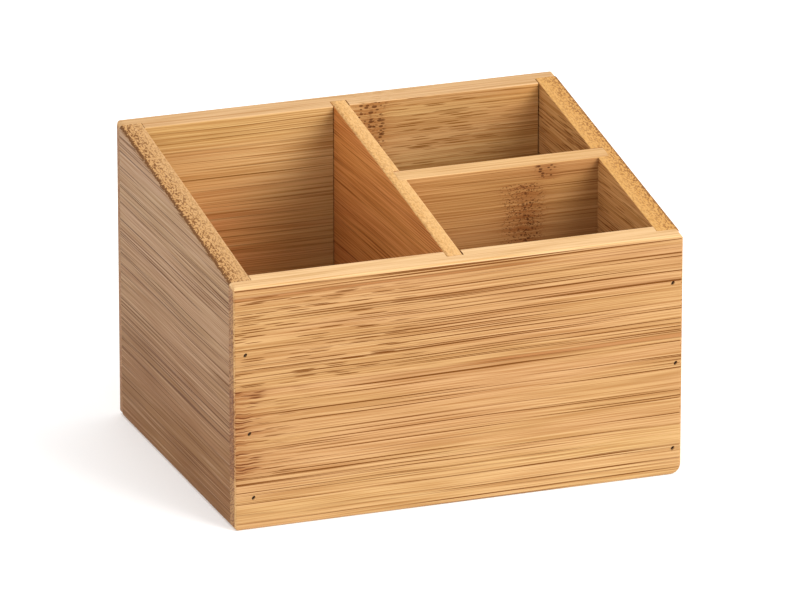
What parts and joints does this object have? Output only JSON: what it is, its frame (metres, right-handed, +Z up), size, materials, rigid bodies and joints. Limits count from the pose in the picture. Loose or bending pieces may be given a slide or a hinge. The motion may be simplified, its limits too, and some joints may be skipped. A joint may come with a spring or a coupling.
{
  "type": "desk organizer",
  "caption": "Open-top bamboo desk organizer with a rim that slopes up to the back, split by upright dividers into one full-depth compartment and two smaller ones.",
  "frame": {"origin": "middle of the footprint on the surface that the organizer stands on", "axes": "+X to the right along the width, +Y towards the tall back, +Z up; the low front faces -Y and the full-depth compartment is on the -X side"},
  "size_m": [0.15, 0.115, 0.0997],
  "materials": {
    "front_back_bamboo": "satin",
    "side_bamboo": "satin",
    "divider_bamboo": "satin",
    "bottom_bamboo": "matte",
    "nail_steel": "dark, slightly oxidised"
  },
  "bodies": {
    "root": {"front_panel": "front_back_bamboo", "back_panel": "front_back_bamboo", "left_side_panel": "side_bamboo", "right_side_panel": "side_bamboo", "center_divider": "divider_bamboo", "cross_divider": "divider_bamboo", "bottom_panel": "bottom_bamboo", "front_nail_left_1": "nail_steel", "front_nail_left_2": "nail_steel", "front_nail_left_3": "nail_steel", "front_nail_right_1": "nail_steel", "front_nail_right_2": "nail_steel", "front_nail_right_3": "nail_steel", "back_nail_left_1": "nail_steel", "back_nail_left_2": "nail_steel", "back_nail_left_3": "nail_steel", "back_nail_left_4": "nail_steel", "back_nail_right_1": "nail_steel", "back_nail_right_2": "nail_steel", "back_nail_right_3": "nail_steel", "back_nail_right_4": "nail_steel"}
  },
  "joints": []
}
